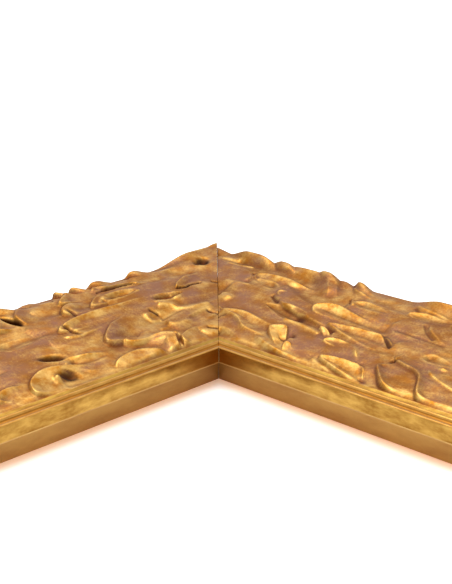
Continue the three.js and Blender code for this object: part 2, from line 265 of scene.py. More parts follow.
def beside_line(along, across, start, end, bend):
    """Share of a bowed line passed, its length, and the distance to its outer side."""
    step_along = end[0] - start[0]
    step_across = end[1] - start[1]
    length = sqrt(step_along ** 2 + step_across ** 2)
    from_along = along - start[0]
    from_across = across - start[1]
    share = (from_along * step_along + from_across * step_across) / length ** 2
    held = np.clip(share, 0, 1)
    side = (from_across * step_along - from_along * step_across) / length - bend * 4 * held * (1 - held)
    return share, length, -side if step_along < 0 else side


def round_nose(share, nose):
    left = 1 - np.clip(share / nose, 0, 1)
    return np.sqrt(np.clip(1 - left ** 2, 0, 1))


def leaf(along, across, tip, tail, width=5, bend=0, lift=0.3, sink=-3.5, fade=1.6, dish=0.3,
         lean=0, nose=0.3, taper=0.3, front=0.3, back=0.35):
    """Height of a leaf that rises at its tip and sinks into the background at its tail."""
    share, length, outward = beside_line(along, across, slid(tip, lift), slid(tail, sink), bend)
    passed = np.clip(share, 0, LEAF_TAIL)
    half = width * round_nose(share, nose) * (1 - taper * passed)
    spread = np.clip(outward / np.maximum(half, LEAST_WIDTH), -1, 1)
    hollow = dish * (1 - spread ** 2) * np.maximum(1 - passed, 0)
    top = lift + (sink - lift) * passed ** fade - hollow + lean * spread
    over_back = np.maximum(outward - half, 0) * back
    over_front = np.maximum(-outward - half, 0) * front
    over_tip = np.maximum(-share * length, 0) * LEAF_TIP
    return top - over_back - over_front - over_tip


def gouge(along, across, head, tail, width=3, depth=2, bend=0, nose=0.3, fade=1, skew=0.3, rim=0.2,
          level=-1):
    """Change of height by a cut that is steep at its head and runs out at its tail."""
    share, length, outward = beside_line(along, across, slid(head, level), slid(tail, level), bend)
    run = np.clip((share - nose) / (1 - nose), 0, 1)
    half = np.maximum(width * round_nose(share, nose) * (1 - run ** GOUGE_CURVE), LEAST_WIDTH)
    spread = outward / half
    inside = np.clip(spread, -1, 1)
    reach = ease(share / (nose * GOUGE_START)) * np.clip(1 - share, 0, 1) ** fade
    cut = -depth * reach * (1 - inside ** 2) * (1 + skew * inside)
    outside = np.maximum(np.abs(spread) - 1, 0) * half
    burr = rim * reach * np.exp(-(outside / BURR_WIDTH) ** 2) * inside ** 4
    return cut + burr


def soft_max(a, b):
    share = np.clip(0.5 + (a - b) / (2 * BLEND), 0, 1)
    return b + (a - b) * share + BLEND * share * (1 - share)


# The drawing of the carving. Places are (along, across): from the mitre at the sight edge, and outwards.
# A petal's or rim's line is its crest, as (along, across, height over the nominal face).
# Humps of the outer edge are start, crest start, crest end, end, and height over the nominal face.
# Washes change the tone alone: place, half-length, half-width, heading in degrees, and tone.
LEFT_CARVING = {
    "edge_low": -3.3,
    "slant": 1.2,
    "humps": [(-120, -100, -70, -50, 2), (-120, -100, -52, -27, 1.2), (-24, -16, -14, -9.5, -0.6),
              (-3, 7, 9, 13.5, -0.6), (15, 20, 21.5, 23.5, -0.6), (24, 30, 31, 31.8, -0.6),
              (40, 45, 47, 51, -2.6), (52, 60, 62, 66, -1), (78, 86, 88, 92, -1.2),
              (100, 110, 112, 118, -1)],
    "inside": 1,
    "leaves": [
        dict(tip=(60, 67), tail=(28, 70), width=6, lift=-2.2, sink=-3.2, dish=-0.3, tone=0.3),
        dict(tip=(52, 61), tail=(20, 62), width=6, lift=-1.5, sink=-1.4, dish=-0.3, nose=0.9, tone=0.35),
        dict(tip=(62, 50), tail=(30, 47), width=6.5, lift=-1.1, sink=-1, dish=-0.3, nose=0.9, tone=0.15),
        dict(tip=(60, 37), tail=(38, 36), width=4, lift=-0.8, sink=-1.2, dish=-0.2, tone=0.2),
        dict(tip=(96, 36), tail=(66, 38), width=6, lift=-0.6, sink=-1, dish=-0.3, tone=0.1),
        dict(tip=(100, 24), tail=(66, 29), width=4.5, lift=-0.5, sink=-1.2, dish=-0.3, tone=0.1),
        dict(tip=(-26, 70), tail=(-80, 68), width=11, lift=-3.6, sink=1.9, dish=0, fade=0.45, taper=0,
             front=0.16, tone=0.4),
        dict(tip=(16, 56), tail=(-26, 51), width=5, lift=-0.5, sink=-0.9, dish=-0.2, taper=0, tone=0),
        dict(tip=(-14, 43), tail=(-44, 42), width=5, lift=-0.5, sink=-0.9, dish=-0.2, taper=0, tone=0),
        dict(tip=(4, 26), tail=(-30, 27), width=4.5, lift=-0.6, sink=-0.9, dish=-0.2, taper=0, tone=0.3),
        dict(tip=(-4, 14), tail=(-30, 14), width=4, lift=-1.2, sink=-0.9, dish=-0.2, taper=0, tone=0.7),
    ],
    "petals": [
        dict(line=[(22, 61.5, -1), (30, 61.5, 0), (34, 63.5, 0.5), (29.5, 67, 0.4), (24, 71, -0.2),
                   (16, 73, -0.5)], dip=0.8, reach=4, tone=0.55),
        dict(line=[(36, 66, -1), (33.5, 69, -0.4), (31.5, 71.5, -0.3), (24, 72.5, -1.4)], dip=0.4,
             tone=0.1),
        dict(line=[(18, 64, -1), (13, 67, -0.2), (9.5, 71, -0.5), (2, 73, -1.6)], dip=0.4, tone=0.2),
        dict(line=[(-16, 61, -0.2), (-9, 61.4, 0.3), (-3, 62.6, 0.4), (4, 64.2, 0.4), (10, 67, 0.2),
                   (13, 71, -0.3)], dip=1, wall=3, reach=3, tone=0.25),
        dict(line=[(-8, 67, -1.2), (-11, 69, -0.4), (-14, 72, -0.4), (-22, 74, -1.4)], dip=0.4, tone=0.2),
        dict(line=[(26, 52.3, -0.8), (34, 52.2, -0.2), (38, 55, 0.4), (36, 59, 0.6), (30, 60.6, 0.4),
                   (22, 58, -0.6)], dip=-0.2, wall=2.6, slope=0.02, tone=0.35),
        dict(line=[(8, 53.2, -0.6), (17, 53.2, -0.2), (23.5, 54.5, 0), (20, 58, 0.3), (14, 61, 0.2),
                   (4, 62, -0.2)], dip=0.4, slope=0.05, reach=3, tone=0.1),
        dict(line=[(56, 52, -0.8), (58.5, 58, -0.2), (58, 63, 0), (54, 67, -1), (48, 69, -1.6)], dip=0.2,
             tone=0.1),
        dict(line=[(62, 54.4, -0.8), (69, 55.4, 0), (72, 58, 0.5), (69, 62, 0.6), (63, 66, 0)], dip=1.2,
             rim=2.4, tone=0.8),
        dict(line=[(30, 41, -1), (41, 41.2, -0.4), (46.5, 42.6, 0.2), (48.8, 44.8, 0.6), (45, 47.4, 0.7),
                   (38, 49.4, 0.6), (28, 50.6, 0.4), (12, 50.8, 0.2), (-10, 49.6, -0.4)], wall=2.4, dip=1.6,
             rim=2.4, slope=0.02, reach=8, drop=0.9, tone=0.75),
        dict(line=[(26, 38.4, -1), (38, 36.8, -0.6), (45, 36.6, -0.2), (50, 38.2, 0), (52, 41, -0.4)],
             dip=0.6, tone=0.8),
        dict(line=[(16, 26.5, -1), (28, 24.9, -0.7), (35, 26.4, -0.1), (36.5, 29.3, 0.4), (33.5, 33, 0.6),
                   (29, 36.5, 0.6), (23, 40, 0.4), (8, 44, -0.2)], wall=1.8, dip=0.7, rim=2.4, slope=0.04,
             reach=8, tone=0.1),
        dict(line=[(5, 21.3, -1.4), (17, 20.6, -0.9), (26, 21.8, -0.5), (30, 24.8, -0.3), (26, 27.8, -0.7)],
             dip=0.6, slope=0.05, wall=1.2, tone=0.9),
        dict(line=[(14, 7.5, -1), (12.6, 10.5, -0.2), (10.4, 14.5, 0.5), (7.4, 20, 0.8), (13, 23, 0.3),
                   (24, 24.5, -0.8)], inside=-1, dip=0.3, rim=4, slope=0.06, wall=3, reach=4, tone=0.35),
        dict(line=[(5.5, 8.6, -1), (7.4, 11.6, 0), (6.8, 15.6, 0.3), (0, 18, -0.6), (-10, 19, -1.1)],
             dip=0.6, tone=0.9),
        dict(line=[(20, 8, -1.2), (21.5, 11, -0.4), (24, 13.6, 0), (31, 16.2, 0), (40, 15.4, -0.2),
                   (46, 12.4, -0.6), (48, 8.6, -1.4)], inside=-1, dip=-0.1, rim=3, slope=0.22, wall=1.2,
             tone=0.75),
        dict(line=[(-37, 47.4, -0.9), (-28, 48, -0.2), (-23.7, 50, 0.4), (-25.7, 52.8, 0.5),
                   (-31, 55.2, 0.5), (-38, 56.9, 0.3), (-54, 56.5, -0.4)], dip=0.7, slope=0.05, tone=0.2),
        dict(line=[(50, 11, -1.4), (59, 13.4, -1.6), (65.4, 18.6, -1.8), (62, 23.8, -1), (52, 24.5, -0.3),
                   (38, 21.6, -1)], dip=0.7, rim=3, slope=0.04, wall=1.2, tone=0.6),
        dict(line=[(73, 7.4, -0.8), (80.6, 8.6, -0.4), (85.6, 12, 0.1), (84, 17.5, 0.4), (79.4, 21.4, 0.6),
                   (73, 23.6, 0.7), (66, 22.6, 0.4), (60, 19, -0.9), (55, 15, -1.9), (48, 11, -2.8)],
             dip=1.5, rim=3, slope=0, drop=0.8, tone=1),
        dict(line=[(96, 11, -0.8), (102, 15.5, 0), (95, 19.4, 0.2), (84, 19, -0.4)], dip=1, rim=2.4,
             tone=0.8),
    ],
    "cuts": [
        dict(head=(-9, 60.8), tail=(15, 62.4), width=1.7, depth=2.8, bend=0.6, nose=0.12, fade=0.25, skew=0,
             tone=0.2, grime=0.5),
        dict(head=(17, 55.4), tail=(-4, 55.2), width=2.5, depth=2.4, nose=0.45, fade=0.6, rim=0.5,
             tone=0.8),
        dict(head=(-3, 46), tail=(-21, 43.5), width=2.5, depth=1.7, bend=0.8, nose=0.4, fade=0.4, rim=0.3,
             tone=0.8, grime=0.2),
        dict(head=(-3, 22), tail=(-34, 27), width=3.2, depth=1.4, tone=0.9),
        dict(head=(64, 23.5), tail=(42, 20), width=3, depth=2.2, bend=1, tone=0.85),
        dict(head=(82, 43), tail=(56, 44), width=4, depth=1.4, tone=0.85),
        dict(head=(7.4, 20), tail=(11.5, 8.5), width=1.5, depth=1, nose=0.1, fade=0.4, tone=0.1, grime=0),
        dict(head=(110, 40), tail=(84, 42), width=3, depth=1.4, tone=0.8),
        dict(head=(106, 27), tail=(86, 28), width=2.6, depth=1.6, tone=0.8),
        dict(head=(-24, 62), tail=(-44, 60), width=4, depth=1, nose=0.5, tone=0.75),
    ],
    "rims": [
        dict(line=[(-4, 41, -0.5), (-9, 38.4, -0.3), (-10, 35.4, -0.4), (-14, 32.8, -0.3), (-24, 30, -0.8)],
             height=0.9, left=1.4, right=2.6, tone=0.8),
        dict(line=[(4, 32, -1.2), (7.6, 33.2, -0.9), (8, 36.8, -1)], height=0.8, left=1.2, right=1.2,
             tone=1),
        dict(line=[(2.2, 35.6, -1.2), (3.6, 38.8, -1)], height=-0.9, left=0.5, right=0.7, tone=0.3),
        dict(line=[(-23, 49, 0), (-26.5, 47.4, -0.5), (-30, 48.4, -0.5), (-35.5, 47.6, -0.6)], height=-1.8,
             left=0.45, right=0.45, tone=0),
        dict(line=[(-4, 43.6, -0.6), (-10, 41.6, -0.5), (-17, 41.8, -0.6)], height=0.25, left=0.6,
             right=0.8, tone=0.8),
        dict(line=[(-4, 55.5, -0.4), (4, 57.8, 0), (14, 57.5, 0), (18.5, 55, -0.4)], height=0.5, left=0.7,
             right=0.6, tone=1),
        dict(line=[(-20, 26.3, -0.5), (-22.4, 21.2, -0.5)], height=-0.9, left=0.6, right=0.6, tone=0.2,
             grime=0.6),
        dict(line=[(-9.6, 15.6, -0.5), (-13.6, 12, -0.5)], height=-0.9, left=0.6, right=0.6, tone=0.1,
             grime=0.6),
        dict(line=[(-42, 45.6, -0.5), (-44.4, 43, -0.5)], height=-0.9, left=0.6, right=0.6, tone=0.1,
             grime=0.6),
        dict(line=[(9.5, 25, -0.8), (-6, 23.4, -0.6), (-24, 27, -0.6)], height=0.5, left=1.4, right=1.4,
             tone=0.3),
    ],
    "pits": [
        dict(at=(-52.6, 62.8), long=3, wide=2.7, heading=-20, depth=2.4, sharp=2.4, level=0, tone=0.3,
             grime=0.8),
        dict(at=(-49, 63.6), long=2, wide=1.6, heading=-40, depth=1.2, level=0, tone=0.9, grime=0.2),
        dict(at=(4, 33), long=11, wide=4, heading=-3, depth=1.6, sharp=2.2, tone=0.95, grime=0),
        dict(at=(46.3, 41), long=4.2, wide=1.3, heading=69, depth=1.5, sharp=2.6, grime=0.5),
        dict(at=(62.6, 60), long=4.8, wide=1.5, heading=69, depth=3, sharp=3.5),
        dict(at=(66.5, 28), long=4.8, wide=1.7, heading=14, depth=3, sharp=3, grime=0.7),
        dict(at=(68, 15), long=3.8, wide=1.9, heading=16, depth=2, sharp=2.2, tone=0.4, grime=0.75),
        dict(at=(66, 16.6), long=2.6, wide=0.7, heading=30, depth=0.5, tone=0.1),
        dict(at=(73.6, 14.6), long=1.6, wide=1.5, depth=-1.8, tone=0.9, grime=0),
        dict(at=(36.8, 66.4), long=0.9, wide=0.8, depth=1.6),
        dict(at=(36.6, 52), long=2.6, wide=1, heading=62, depth=1.1, grime=0.5),
    ],
    "washes": [
        ((4, 33), 11, 4, 0, 0.95), ((55, 21.7), 10, 2.6, 31, 1), ((56, 31), 13, 2.4, 22, 1),
        ((68, 12), 14, 4, -6, 0.95), ((44, 45), 8, 2.4, 0, 0.8), ((-8, 14), 7, 4, 0, 0.75),
        ((-27, 64), 7, 4, 0, 0.55), ((-50, 59), 14, 3, 10, 0.45), ((-34, 66), 5, 2, 30, 0.05),
        ((-33, 44.5), 6, 2.6, 0, 0.8), ((28, 46.5), 14, 2.2, 0, 0.95), ((26, 41), 12, 2.2, 0, 0.2),
        ((41, 31), 5, 2.5, -20, 0.8), ((74, 43.5), 8, 3.4, 0, 0.8), ((-22, 36.5), 8, 3.4, 0, 0.1),
        ((-18, 28), 7, 2.6, 0, 0.9), ((46, 62), 10, 2.5, -10, 0.6), ((56, 16), 8, 3, 0, 0.15),
        ((-58, 70.2), 13, 0.7, 0, 1),
    ],
}

RIGHT_CARVING = {
    "edge_low": -2.1,
    "slant": -1.2,
    "humps": [(-120, -100, -74, -58, -0.3), (-64, -50, -43, -27, 1.8), (-37, -28, -26, -14, 1.1),
              (-36, -14, -8, 7, 0.6), (-10, -2, 0, 11, 1.7), (2, 9, 10, 16, -0.8), (14.5, 18, 19, 27, 0.7),
              (46, 62, 68, 82, 1.1), (84, 94, 98, 104, -0.5), (106, 112, 116, 124, 0.5)],
    "inside": -1,
    "leaves": [
        dict(tip=(-32, 52), tail=(-62, 54), width=7, lift=-0.9, sink=-0.7, dish=-0.2, taper=0, tone=0.1),
        dict(tip=(22, 66), tail=(60, 66), width=6, lift=-1.5, sink=-2, dish=-0.3, taper=0, tone=0.5),
        dict(tip=(26, 56), tail=(56, 52), width=5, lift=-0.7, sink=-0.8, dish=-0.2, taper=0, tone=0.2),
        dict(tip=(54, 50), tail=(84, 46), width=6, lift=-0.6, sink=-0.8, dish=-0.2, taper=0, tone=0.2),
        dict(tip=(64, 36), tail=(100, 34), width=6, lift=-0.8, sink=-1, dish=-0.3, taper=0, tone=0.35),
        dict(tip=(22, 19), tail=(50, 21), width=5.5, lift=-0.7, sink=-0.8, dish=-0.2, taper=0, tone=0.05),
        dict(tip=(36, 32), tail=(60, 28), width=4, lift=-0.8, sink=-1, dish=-0.2, taper=0, tone=0.3),
        dict(tip=(-18, 20), tail=(4, 14), width=5, lift=-1, sink=-1.4, dish=-0.3, taper=0, tone=0.15),
        dict(tip=(-34, 37), tail=(0, 31), width=4.5, lift=-0.8, sink=-0.9, dish=-0.2, taper=0, tone=0.05),
        dict(tip=(-36, 46), tail=(0, 42), width=4, lift=-0.7, sink=-1, dish=-0.2, taper=0, tone=0.3),
        dict(tip=(100, 50), tail=(130, 46), width=7, lift=-0.4, sink=-0.8, dish=0.4, taper=0, tone=0.2),
        dict(tip=(104, 34), tail=(130, 32), width=5, lift=-0.2, sink=-0.8, dish=0.4, taper=0, tone=0.2),
    ],
    "petals": [
        dict(line=[(-4, 66, -1.4), (-18, 68, -0.8), (-27, 69.6, -0.2), (-30.4, 72, 0.2), (-28, 75, 0.3),
                   (-16, 75, -1)], dip=0.5, wall=1.6, tone=0.4),
        dict(line=[(-6, 74, 0.4), (-1, 71.6, 0.4), (3, 68, 0.2), (8.6, 61.4, -0.2), (12, 57, -1)],
             inside=-1, dip=0.1, wall=0.5, slope=0.1, reach=4, tone=0.15),
        dict(line=[(38, 62, -1), (26, 65, -0.4), (19, 67.6, 0), (17, 71.5, 0.4), (19, 74, 0.4),
                   (28, 73, -1.4)], dip=0.7, wall=2.8, tone=0.35),
        dict(line=[(82, 62.6, -1.2), (66, 64.6, -0.8), (56, 66.5, -0.6), (52, 70, -0.6), (56, 73, -0.4),
                   (68, 75.5, 0.4)], dip=0.3, reach=9, wall=0.8, slope=0.02, tone=0.45),
        dict(line=[(-18, 53, -1.4), (-28, 55, -0.8), (-33.4, 58.4, -0.2), (-30, 61, 0.1), (-22, 61.9, 0.1),
                   (-10, 61.4, -0.3), (2, 60, -0.9)], dip=1, rim=2, slope=0.06, wall=1.2, tone=0.4),
        dict(line=[(-2, 46, -0.8), (-8, 47.2, -0.2), (-11.4, 50, 0.1), (-10.6, 52.2, 0.2),
                   (-4, 52.4, -0.4)], dip=0.7, reach=3, tone=0.5),
        dict(line=[(46, 32.5, -0.8), (24, 36, -0.2), (11, 39, 0), (2, 41, 0.1), (-5, 43.6, 0.1),
                   (-10, 46, 0), (-16, 49.6, -0.6)], dip=0, wall=2.6, slope=0.02, reach=8, drop=0.9,
             tone=0),
        dict(line=[(48, 40, -1.2), (28, 41.5, -0.4), (17, 42.6, 0.2), (12, 46.6, 0.9), (12.6, 50, 1.1),
                   (17, 52.4, 1.1), (23, 52.4, 0.7), (32, 50, 0), (44, 47, -0.7), (60, 44, -1.4)], dip=0.4,
             rim=3, wall=3, slope=0.12, drop=1, tone=0.7),
        dict(line=[(66, 29, -1), (54, 30, -0.4), (44, 32.4, 0), (37, 34.4, 0.2), (31.5, 36.4, 0.4),
                   (27.6, 38.4, 0.6), (33, 39.6, 0.7), (44, 40.6, 0.6), (55, 40.8, 0.4), (61, 38, 0),
                   (66, 33, -0.6)], dip=2, rim=3.4, slope=0, wall=1.8, drop=0.6, tone=0.4),
        dict(line=[(36, 27, -1), (31.5, 30.4, -0.2), (26.2, 34.6, 0.6), (29.6, 34.4, 0.5), (34, 31.6, -0.2),
                   (38, 28, -1)], dip=0.4, wall=3, drop=1, tone=1),
        dict(line=[(18, 16, -1.2), (7, 17.4, -0.6), (-4, 19, -0.1), (-10, 22.6, 0.1), (-15, 24.8, 0.3),
                   (-23, 26.4, 0.3), (-18, 28.6, 0.6), (-12, 29.2, 0.6), (-4, 28.2, 0.3), (8, 25.4, -0.6)],
             dip=1.7, rim=2.6, wall=0.9, slope=0, drop=0.9, tone=0.7),
        dict(line=[(22.4, 12.6, -0.6), (17, 15.6, 0), (12.5, 18.7, 0.5), (6.3, 24.6, 1), (9, 27.4, 1.1),
                   (12.7, 28.3, 0.9), (16, 25, 0.5), (19, 21.2, -0.2)], dip=0.3, wall=2.6, slope=0.1,
             drop=0.5, tone=1),
        dict(line=[(28, 10, -1), (23.6, 13.6, 0), (21.4, 18, 0.5), (24, 18, 0.3), (30, 12.6, -0.9)],
             dip=0.4, wall=3, drop=0.8, tone=0.95),
        dict(line=[(52, 23.4, -1), (41, 24.2, -0.4), (35.2, 26.2, 0.2), (36.4, 29, 0.4), (43, 29.8, 0.2),
                   (54, 28, -0.8)], dip=1, wall=2, tone=0.9),
        dict(line=[(42, 7.4, -1), (30, 9, -0.3), (20, 11.4, 0.1), (10.5, 14.2, 0.3), (4, 17.4, -0.4)],
             inside=1, dip=0.8, rim=2, slope=0.05, wall=0.9, tone=1),
        dict(line=[(78, 56.6, -1.2), (64, 57.2, -1.1), (57.4, 58, -0.9), (53.8, 60.6, -0.3),
                   (57, 62.5, -0.2), (64, 63.6, -0.5), (78, 63, -1)], dip=1, rim=3, wall=1.2, tone=0.45),
        dict(line=[(88, 44, -0.8), (80, 46, -0.4), (75, 48.8, 0), (71, 51.4, 0.2), (68, 54.6, 0.3),
                   (66.5, 60, 0)], dip=0.4, wall=2.6, slope=0.03, reach=8, tone=0.05),
        dict(line=[(70, 6.6, -0.8), (59, 9.8, -0.4), (50, 12.2, 0), (44, 14.4, 0.3), (41.6, 16.6, 0.7),
                   (46, 18, 0.7), (54, 18.4, 0.5), (62, 17.8, 0.2), (67, 12, -0.6)], dip=2, rim=3.2,
             wall=2.4, slope=0, drop=0.6, tone=0.85),
        dict(line=[(100, 9.2, -0.6), (91, 8.6, -0.1), (84, 8.8, 0.1), (79, 10.4, 0.3), (74.2, 13, 0.7),
                   (70, 17, 0.9), (66.4, 21, 0.8), (68, 23, 0), (76, 24, -1)], dip=1.6, rim=2, wall=2.8,
             slope=0, reach=9, drop=0.6, tone=0.1),
        dict(line=[(112, 7.6, -0.6), (100.4, 8, 0.1), (94.4, 9.7, 0.5), (89.8, 14, 0.9), (87, 19, 1),
                   (84.4, 23, 0.9), (80.4, 25.4, 0.7), (74.4, 26.7, 0.6), (69.4, 29.2, 0.4),
                   (72.4, 34, -0.6)], dip=1.6, rim=2, wall=2.8, slope=0, reach=9, drop=0.6, tone=0.15),
        dict(line=[(110, 18.6, -0.6), (101, 20.4, -0.1), (94, 22.8, 0.2), (88, 25.6, 0.3), (85, 30, -0.6)],
             dip=0.5, wall=2, tone=0.7),
        dict(line=[(126, 60, -0.8), (108, 60, -0.2), (98, 62, 0.3), (96, 66, 0.3), (104, 68, 0)], dip=0.9,
             tone=0.5),
    ],
    "cuts": [
        dict(head=(18, 34.4), tail=(-8, 38.4), width=4.4, depth=1.5, nose=0.3, fade=0.4, skew=0, tone=0.45,
             grime=0.1),
        dict(head=(-14, 52.6), tail=(-32, 55), width=2.6, depth=1.2, tone=0.8),
        dict(head=(28, 56.6), tail=(48, 55), width=2.6, depth=1.2, tone=0.8),
        dict(head=(80, 34), tail=(94, 33), width=2.6, depth=1.4, tone=0.8),
        dict(head=(-26, 35.6), tail=(-38, 34), width=2.8, depth=-1.4, nose=0.4, level=0, tone=1),
        dict(head=(-14, 11), tail=(2, 9.6), width=2.8, depth=1.2, tone=0.9),
        dict(head=(-43, 64), tail=(-64, 64), width=2.6, depth=0.6, tone=1),
    ],
    "rims": [
        dict(line=[(-35.5, 60, 0), (-32, 57.6, -0.4), (-30, 56.4, -0.6)], height=-0.6, left=0.9, right=0.9,
             tone=0, grime=0.4),
        dict(line=[(-10.4, 45.6, -0.5), (-7, 43.4, -0.7), (-4, 42, -0.8)], height=-0.9, left=1.1, right=0.9,
             tone=0.1, grime=0.25),
        dict(line=[(-42, 47.6, -0.5), (-29, 49, -0.5)], height=0.3, left=1, right=1, tone=0.4),
        dict(line=[(23, 59.8, -0.5), (26.4, 55, -0.5)], height=-0.6, left=0.45, right=0.45, tone=0.1,
             grime=0.3),
        dict(line=[(24.2, 59.6, -0.4), (27.6, 55.6, -0.4)], height=0.5, left=0.5, right=0.8, tone=1),
        dict(line=[(53.5, 66, -0.5), (57, 63, -0.5)], height=-0.4, left=0.6, right=0.6, tone=0, grime=0.3),
        dict(line=[(55.5, 40, -0.4), (59.4, 37, -0.5), (63, 34, -0.6)], height=-0.9, left=1.3, right=0.4,
             tone=0.1, grime=0.7),
        dict(line=[(58, 45.6, -0.5), (68, 45, -0.5), (82, 44.2, -0.5)], height=-0.3, left=0.6, right=0.6,
             tone=0.1),
        dict(line=[(66, 54.5, -0.3), (69.5, 50.5, -0.3), (75, 46.6, -0.3)], height=-0.5, left=0.9,
             right=0.5, tone=0, grime=0.2),
        dict(line=[(41, 12.4, -0.6), (50, 9.8, -0.4), (60, 6.6, -0.3), (67, 5.2, -0.5)], height=0.7, left=1,
             right=1, tone=0.9),
        dict(line=[(10, 31.2, -1), (20, 30.7, -0.8), (30, 28.6, -0.9)], height=0.7, left=1, right=1,
             tone=1),
        dict(line=[(61.2, 18.8, -0.4), (64, 14, -0.6), (69, 9, -0.6)], height=-0.35, left=1.3, right=0.9,
             tone=0, grime=0),
        dict(line=[(-54, 62.2, -0.4), (-41, 64.8, -0.4)], height=0.6, left=0.8, right=0.8, tone=1),
        dict(line=[(-61, 65.4, -0.4), (-52, 66.6, -0.4)], height=0.5, left=0.8, right=0.8, tone=1),
    ],
    "pits": [
        dict(at=(-9, 58.4), long=3.4, wide=1.3, heading=0, depth=-0.7, tone=1, grime=0),
        dict(at=(4, 40.2), long=3.4, wide=1.2, heading=-10, depth=-0.4, tone=1, grime=0),
        dict(at=(15, 34.6), long=3.6, wide=1.8, heading=-12, depth=1, grime=0.35),
        dict(at=(92.6, 29), long=1.6, wide=0.8, depth=-0.9, tone=1, grime=0),
        dict(at=(70.6, 27), long=2, wide=0.9, heading=60, depth=0.9, level=0, grime=0.5),
        dict(at=(22, 22), long=3, wide=1.2, heading=-30, depth=0.8, tone=0, grime=0.2),
        dict(at=(54.6, 23.2), long=3.8, wide=1, heading=-46, depth=-0.9, sharp=1.6, tone=1, grime=0),
    ],
    "washes": [
        ((44, 48), 8, 3, -6, 0.35), ((98, 14), 9, 4, 0, 0.6), ((62, 12), 8, 3, 0, 0.95),
        ((36, 61), 12, 4, 0, 0.55), ((-20, 53), 7, 2.8, 0, 0.75), ((5, 65.5), 5, 4, 0, 0.2),
        ((-28, 66), 10, 2.4, 0, 0.65), ((30, 56.5), 6, 2.2, 0, 0.75), ((-9, 58.5), 3.4, 1.2, 0, 1),
        ((-17.4, 58.6), 8, 1.2, 21, 1), ((4, 40.2), 4, 1.4, 0, 0.95), ((12, 20), 5, 4, -40, 1),
        ((-30, 35.5), 5, 2.4, 0, 1), ((-11, 11.5), 5, 3, 0, 0.8), ((32, 45), 14, 2.4, -8, 0.75),
        ((84, 34), 5, 2, 0, 0.7), ((-50, 57), 12, 4, 0, 0.05), ((-13, 19.5), 5, 3, -30, 0.1),
    ],
}


def edge_height(carving, along, across):
    """Height of the wavy outer edge, whose humps slant as they run in over the face."""
    height = np.full(along.shape, float(carving["edge_low"]))
    place = along + carving["slant"] * (DRAWING_WIDTH - across)
    for start, crest_start, crest_end, end, top in carving["humps"]:
        rise = ease((place - start) / (crest_start - start))
        fall = ease((end - place) / (end - crest_end))
        share = np.minimum(rise, fall)
        height = np.maximum(height, carving["edge_low"] + (top - carving["edge_low"]) * share)
    return height


def ripples(along, across):
    """Slight waves that the tools and the brushed gesso leave, drawn out along the leaves.

    The broad ones are about 7 mm from crest to crest and the fine ones about half of that.
    """
    run = along * cos(RIPPLE_HEADING) + across * sin(RIPPLE_HEADING)
    cross = across * cos(RIPPLE_HEADING) - along * sin(RIPPLE_HEADING)
    broad = np.sin(cross / 1.1 + 1.6 * np.sin(run / 6.5)) * np.sin(run / 8 + cross / 5)
    fine = np.sin(cross / 0.55 + 2.1 * np.sin(run / 3.4 + 2)) * np.sin(run / 3.1 - cross / 4)
    return RIPPLE * (broad + FINE_RIPPLE * fine)


def background(along, across):
    runs = np.sin(along / LONG_WAVE[0] + across / LONG_WAVE[1])
    crosses = np.sin(across / CROSS_WAVE[1] - along / CROSS_WAVE[0])
    return GROUND + WAVE * runs * crosses


def raised_leaves(carving, along, across):
    """Height and tone once the leaves and petals lie on the background."""
    height = background(along, across)
    tone = np.full(height.shape, START_TONE)
    for kind, shaper in (("leaves", leaf), ("petals", petal)):
        for shape in carving[kind]:
            shape = dict(shape)
            shape_tone = shape.pop("tone")
            if kind == "petals":
                shape["inside"] = carving["inside"] * shape.get("inside", 1)
            part = shaper(along, across, **shape)
            above = np.clip(0.5 + (part - height) / (2 * BLEND), 0, 1)
            tone = tone + (shape_tone - tone) * above
            height = soft_max(height, part)
    return height, tone


def bordered(along, across, tone):
    """Tone with the clean gold of the hollow run on to the start of the carving, in an uneven line."""
    first, second = BORDER_WAVE_LENGTHS
    wave = (np.sin(along / first) + np.sin(along / second + 1)) / 2
    border = across - BORDER - BORDER_WAVE * wave
    return BORDER_TONE + (tone - BORDER_TONE) * ease(border / BORDER_FADE)


def carved_surface(carving, along, across):
    """Height over the nominal face, tone, and painted shade with dirt in the deep marks, from 0 to 1."""
    height, tone = raised_leaves(carving, along, across)
    tone = bordered(along, across, tone)
    grime = np.zeros(height.shape)
    for kind, shaper in (("cuts", gouge), ("rims", rim_line), ("pits", pit)):
        for shape in carving[kind]:
            shape = dict(shape)
            shape_tone = shape.pop("tone", CUT_TONE)
            shape_shade_and_grime = shape.pop("grime", SHADE_AND_GRIME[kind])
            change = shaper(along, across, **shape)
            reach = np.clip(np.abs(change) / max(np.abs(change).max(), LEAST_CHANGE) * TONE_SPREAD, 0, 1)
            tone = tone + (shape_tone - tone) * reach
            # painted shade, with some dirt: the deeper the mark, the darker it is painted
            grime = np.maximum(grime, shape_shade_and_grime * np.clip(-change / SHADE_AND_GRIME_DEPTH, 0, 1))
            height = height + change
    height = height + ripples(along, across)
    edge_share = ease((across - DRAWING_WIDTH + EDGE_REACH) / EDGE_REACH)
    height = height + (edge_height(carving, along, across) - height) * edge_share
    tone = tone + (EDGE_TONE - tone) * edge_share
    for at, long, wide, heading, wash_tone in carving["washes"]:
        reach = pit(along, across, at, long, wide, heading, depth=-1, sharp=WASH_SHARPNESS)
        tone = tone + (wash_tone - tone) * reach * WASH_SHARE
    return height, tone, grime


# Section of the plain mouldings
def nominal_height(across):
    return SIGHT_HEIGHT + (OUTER_HEIGHT - SIGHT_HEIGHT) * across / FACE_WIDTH


def lip_points():
    """The wall of the rabbet, the lip's underside and its rounded edge."""
    points = [(RABBET_WIDTH, 0.0), (RABBET_WIDTH, RABBET_HEIGHT)]
    points.append(((RABBET_WIDTH + LIP_ROUND) / 2, RABBET_HEIGHT))
    for share in np.linspace(0, 1, ROUND_STEPS):
        turn = pi / 2 * share
        points.append((LIP_ROUND * (1 - sin(turn)), RABBET_HEIGHT + LIP_ROUND * (1 - cos(turn))))
    return points


